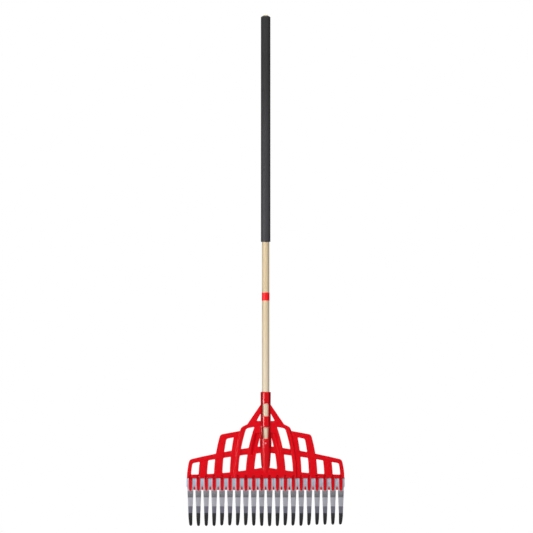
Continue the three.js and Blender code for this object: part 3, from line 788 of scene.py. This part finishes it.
# Studio. A pale floor under the tips, a wide soft lamp above the camera, a tall narrow one from
# the left, others from the right, above and behind, and a straight, parallel view as in the
# photograph.
photo_pixels = 533
pixel = 3.157 * mm
middle_column = 265.66
bar_row = 478.2
floor_half = 3.0
floor_gap = 0.5 * mm
floor_pale = (0.4, 0.4, 0.4)
floor_dull = (0.06, 0.06, 0.06)  # as shiny surfaces see it
floor_glow = 0.6
floor_shine = 0.06  # its glow as shiny surfaces see it
ambient = 0.06
front_gloss = 0.04  # how bright shiny surfaces see the room in front
front_span = (0.1, 0.6)  # how far a ray's way points forwards where that starts and is full
front_rise = (-0.5, -0.1)  # and upwards
back_gloss = 0.2  # how bright they see the backdrop straight behind
back_span = (0.93, 0.99)
camera_away = 5
aim = (0, 0, -0.45)
key_aim = (0, 0, -0.85)


def ray_kinds(tree):
    """Whether a ray comes from the camera, from gloss or through a clear surface."""
    path = tree.nodes.new("ShaderNodeLightPath")
    kinds = ("Is Camera Ray", "Is Glossy Ray", "Is Transmission Ray")
    return [Wire(tree, path.outputs[kind]) for kind in kinds]


def add_floor():
    shape = bmesh.new()
    bmesh.ops.create_circle(shape, cap_ends=True, radius=floor_half, segments=64)
    bmesh.ops.translate(shape, vec=(0, 0, cad_low.z - floor_gap), verts=shape.verts)
    mesh = bpy.data.meshes.new("floor")
    shape.to_mesh(mesh)
    shape.free()
    made = bpy.data.materials.new("pale_floor")
    made.use_nodes = True
    made.node_tree.nodes.clear()
    camera, glossy, through = ray_kinds(made.node_tree)
    seen = (camera + through) * floor_glow + glossy * floor_shine
    matt = camera.node("BsdfDiffuse", {}, {"Color": between(glossy, floor_pale, floor_dull)})
    glow = camera.node("Emission", {}, {"Color": (1, 1, 1, 1), "Strength": seen})
    surface = camera.node("AddShader", {}, {0: matt, 1: glow})
    camera.node("OutputMaterial", {}, {"Surface": surface})
    mesh.materials.append(made)
    floor = bpy.data.objects.new("floor", mesh)
    bpy.context.scene.collection.objects.link(floor)


def add_surroundings():
    """A white backdrop, of which shiny surfaces see little, and faint light from all round."""
    world = bpy.data.worlds.new("studio")
    bpy.context.scene.world = world
    world.use_nodes = True
    world.node_tree.nodes.clear()
    camera, glossy, through = ray_kinds(world.node_tree)
    way = camera.node("TexCoord", {}, {}, "Generated")
    back = part_of(way, "Y")
    behind = steep(back, *back_span)
    in_front = steep(0 - back, *front_span) * steep(part_of(way, "Z"), *front_rise)
    gloss = behind * back_gloss + in_front * front_gloss
    seen = camera + through + glossy * gloss
    white = camera.node("Background", {}, {"Color": (1, 1, 1, 1), "Strength": 1.0})
    soft = camera.node("Background", {}, {"Color": (1, 1, 1, 1), "Strength": (1 - glossy) * ambient})
    both = camera.node("MixShader", {}, {0: seen, 1: soft, 2: white})
    camera.node("OutputWorld", {}, {"Surface": both})


def add_lamp(name, place, target, size, watts):
    lamp = bpy.data.lights.new(name, "AREA")
    lamp.shape = "RECTANGLE"
    lamp.size, lamp.size_y = size
    lamp.energy = watts
    piece = bpy.data.objects.new(name, lamp)
    piece.location = place
    piece.rotation_euler = (Vector(target) - Vector(place)).to_track_quat("-Z", "Y").to_euler()
    bpy.context.scene.collection.objects.link(piece)
    return piece


def add_camera():
    lens = bpy.data.cameras.new("camera")
    lens.type = "ORTHO"
    lens.ortho_scale = photo_pixels * pixel
    camera = bpy.data.objects.new("camera", lens)
    across = (photo_pixels / 2 - middle_column) * pixel
    up = bar_edge + (bar_row - photo_pixels / 2) * pixel
    camera.location = (across, -camera_away, up)
    camera.rotation_euler = (math.pi / 2, 0, 0)
    bpy.context.scene.collection.objects.link(camera)
    bpy.context.scene.camera = camera


add_floor()
add_surroundings()
front = add_lamp("front", place=(0, -6, 0.8), target=aim, size=(3, 2.4), watts=260)
front.visible_glossy = False
add_lamp("key", place=(-1.87, -1.8, -0.85), target=key_aim, size=(0.55, 1.1), watts=30)
add_lamp("fill", place=(2.8, -2.4, 0.2), target=aim, size=(2.4, 2.4), watts=6)
add_lamp("top", place=(0, -0.4, 3), target=aim, size=(2, 2), watts=30)
add_lamp("back", place=(0, 3.2, 2.2), target=aim, size=(2, 2), watts=60)
add_camera()
bpy.context.scene.view_settings.view_transform = "Standard"
